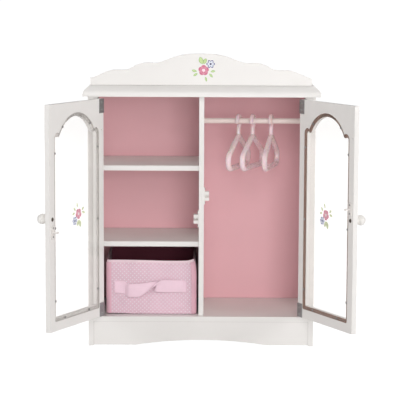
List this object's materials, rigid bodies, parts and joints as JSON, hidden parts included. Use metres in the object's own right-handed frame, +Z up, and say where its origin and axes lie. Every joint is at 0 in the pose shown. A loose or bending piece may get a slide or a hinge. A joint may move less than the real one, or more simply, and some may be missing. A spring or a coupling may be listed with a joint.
{
  "type": "doll wardrobe",
  "caption": "White miniature wardrobe for dolls with two arched glazed doors, scalloped crest, shelves, hanging rod with hangers and a pull-out fabric basket.",
  "frame": {"origin": "centre of the rear base rail's underside, on the floor", "axes": "+X to the right as seen from the front, +Y from the front to the back, +Z up"},
  "size_m": [0.563, 0.3657, 0.5301],
  "materials": {
    "white_paint": "satin white paint over fibreboard",
    "pink_board": "matt pink paint on thin board",
    "cream_paint": "satin off-white paint on a wooden rod",
    "knob_paint": "satin white paint on turned wood",
    "dowel_wood": "bare beech",
    "clear_pane": "clear acrylic sheet, polished",
    "hinge_steel": "plain pressed steel",
    "screw_steel": "zinc plated",
    "dark_screw_metal": "blackened steel",
    "white_plastic": "moulded white plastic",
    "roller_plastic": "pale rubbery plastic",
    "pink_plastic": "glossy moulded pink plastic",
    "basket_fabric": "pink cotton with small white dots over stiff board",
    "strap_fabric": "pink grosgrain ribbon",
    "basket_board": "board covered in dark lining"
  },
  "bodies": {
    "cabinet": {"back_panel": "pink_board", "back_panel_nails": "screw_steel", "board_dowels": "dowel_wood", "bottom_board": "white_paint", "catch_screws": "screw_steel", "cornice_board": "white_paint", "crest_board": "white_paint", "crest_dowels": "dowel_wood", "divider": "white_paint", "frame_leaf_screws": "screw_steel", "hanging_rod": "cream_paint", "left_catch": "white_plastic", "left_catch_rollers": "roller_plastic", "left_hinge_pins": "hinge_steel", "left_hinge_post": "white_paint", "left_lower_frame_leaf": "hinge_steel", "left_side_panel": "white_paint", "left_upper_frame_leaf": "hinge_steel", "lower_shelf": "white_paint", "plinth_front_rail": "white_paint", "rear_base_rail": "white_paint", "right_catch": "white_plastic", "right_catch_rollers": "roller_plastic", "right_hinge_pins": "hinge_steel", "right_hinge_post": "white_paint", "right_lower_frame_leaf": "hinge_steel", "right_side_panel": "white_paint", "right_upper_frame_leaf": "hinge_steel", "shelf_dowels": "dowel_wood", "upper_shelf": "white_paint"},
    "left_door": {"left_door_frame": "white_paint", "left_door_hinge_screws": "screw_steel", "left_door_knob": "knob_paint", "left_door_knob_screw": "dark_screw_metal", "left_door_lower_hinge_leaf": "hinge_steel", "left_door_pane": "clear_pane", "left_door_pane_screws": "screw_steel", "left_door_strike": "white_plastic", "left_door_strike_screws": "screw_steel", "left_door_upper_hinge_leaf": "hinge_steel"},
    "right_door": {"right_door_frame": "white_paint", "right_door_hinge_screws": "screw_steel", "right_door_knob": "knob_paint", "right_door_knob_screw": "dark_screw_metal", "right_door_lower_hinge_leaf": "hinge_steel", "right_door_pane": "clear_pane", "right_door_pane_screws": "screw_steel", "right_door_strike": "white_plastic", "right_door_strike_screws": "screw_steel", "right_door_upper_hinge_leaf": "hinge_steel"},
    "basket": {"basket_base_board": "basket_board", "basket_shell": "basket_fabric", "basket_strap": "strap_fabric"},
    "hanger_left": {"hanger_left": "pink_plastic"},
    "hanger_middle": {"hanger_middle": "pink_plastic"},
    "hanger_right": {"hanger_right": "pink_plastic"}
  },
  "joints": [
    {"name": "left_door_swing", "type": "hinge", "parent": "cabinet", "child": "left_door", "pos_m": [-0.18505, -0.1888, 0.25375], "axis": [0, 0, -1], "range_deg": [-117, 58]},
    {"name": "right_door_swing", "type": "hinge", "parent": "cabinet", "child": "right_door", "pos_m": [0.18505, -0.1888, 0.25375], "axis": [0, 0, 1], "range_deg": [-117, 58]},
    {"name": "basket_slide", "type": "slide", "parent": "cabinet", "child": "basket", "axis": [0, -1, 0], "range_m": [0, 0.14]},
    {"name": "hanger_left_slide", "type": "slide", "parent": "cabinet", "child": "hanger_left", "axis": [1, 0, 0], "range_m": [-0.032, 0.013]},
    {"name": "hanger_middle_slide", "type": "slide", "parent": "cabinet", "child": "hanger_middle", "axis": [1, 0, 0], "range_m": [-0.013, 0.014]},
    {"name": "hanger_right_slide", "type": "slide", "parent": "cabinet", "child": "hanger_right", "axis": [1, 0, 0], "range_m": [-0.014, 0.035]}
  ]
}
